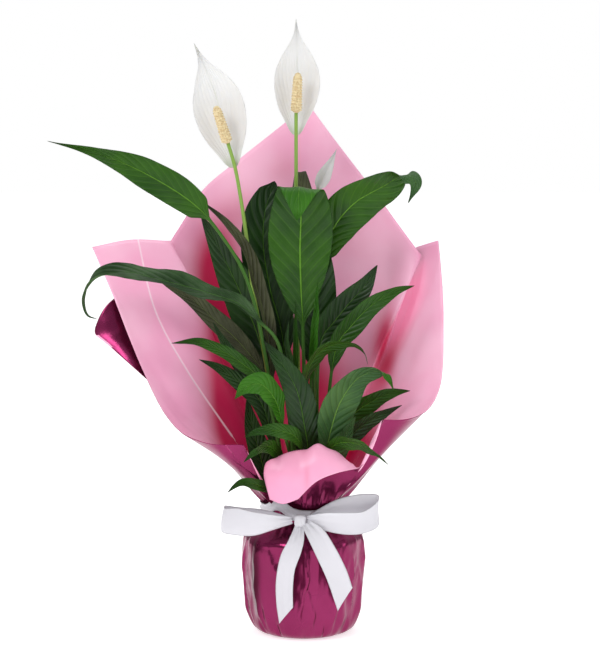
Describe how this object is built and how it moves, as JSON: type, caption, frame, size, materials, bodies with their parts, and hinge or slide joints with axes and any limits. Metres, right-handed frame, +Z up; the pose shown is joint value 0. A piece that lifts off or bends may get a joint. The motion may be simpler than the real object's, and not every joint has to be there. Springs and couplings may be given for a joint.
{
  "type": "potted peace lily in a film wrapper",
  "caption": "Peace lily in a round grower's pot, gift wrapped in one flared two-tone film sheet tied at the neck with a satin bow.",
  "frame": {"origin": "centre of the wrapped pot's underside, on the surface it stands on", "axes": "+Z up along the pot's axis, -Y towards the viewer whom the bow faces, +X to that viewer's right"},
  "size_m": [0.3995, 0.2187, 0.6271],
  "materials": {
    "film": "two-tone film, matt light pink inside, pearly magenta outside",
    "pot": "plain moulded",
    "soil": "loose peat",
    "leaf": "waxy leaf",
    "stalk": "smooth living stalk",
    "spathe": "soft white bract",
    "spadix": "knobbly cream spike",
    "ribbon": "white satin"
  },
  "bodies": {
    "root": {"bow_knot": "ribbon", "bow_loop_left": "ribbon", "bow_loop_right": "ribbon", "bow_tail_left": "ribbon", "bow_tail_right": "ribbon", "film_back_panel_left": "film", "film_back_panel_right": "film", "film_front_tongue": "film", "film_left_flap_back": "film", "film_left_flap_front": "film", "film_left_pleat": "film", "film_pot_cover": "film", "film_right_flap_back": "film", "film_right_flap_front": "film", "film_right_pleat_back": "film", "film_right_pleat_front": "film", "film_right_pleat_middle": "film", "flower_bud_spathe": "spathe", "flower_bud_stalk": "stalk", "flower_left_spadix": "spadix", "flower_left_spathe": "spathe", "flower_left_stalk": "stalk", "flower_right_spadix": "spadix", "flower_right_spathe": "spathe", "flower_right_stalk": "stalk", "grower_pot": "pot", "leaf_back_centre": "leaf", "leaf_back_left": "leaf", "leaf_centre": "leaf", "leaf_front_centre": "leaf", "leaf_left_arching": "leaf", "leaf_left_bright": "leaf", "leaf_left_broad": "leaf", "leaf_left_folded": "leaf", "leaf_left_high": "leaf", "leaf_left_low_dark": "leaf", "leaf_left_narrow": "leaf", "leaf_left_pointed": "leaf", "leaf_left_rim_lower": "leaf", "leaf_left_rim_upper": "leaf", "leaf_left_thin": "leaf", "leaf_left_under": "leaf", "leaf_outside_left": "leaf", "leaf_right_arching": "leaf", "leaf_right_behind": "leaf", "leaf_right_high": "leaf", "leaf_right_low_back": "leaf", "leaf_right_low_front": "leaf", "leaf_right_low_mid": "leaf", "leaf_right_mid_back": "leaf", "leaf_right_mid_front": "leaf", "leaf_right_rim": "leaf", "leaf_right_small_pale": "leaf", "leaf_young_rolled": "leaf", "leaf_young_sheath": "leaf", "leaf_young_upright": "leaf", "potting_soil": "soil", "ribbon_band": "ribbon"}
  },
  "joints": []
}
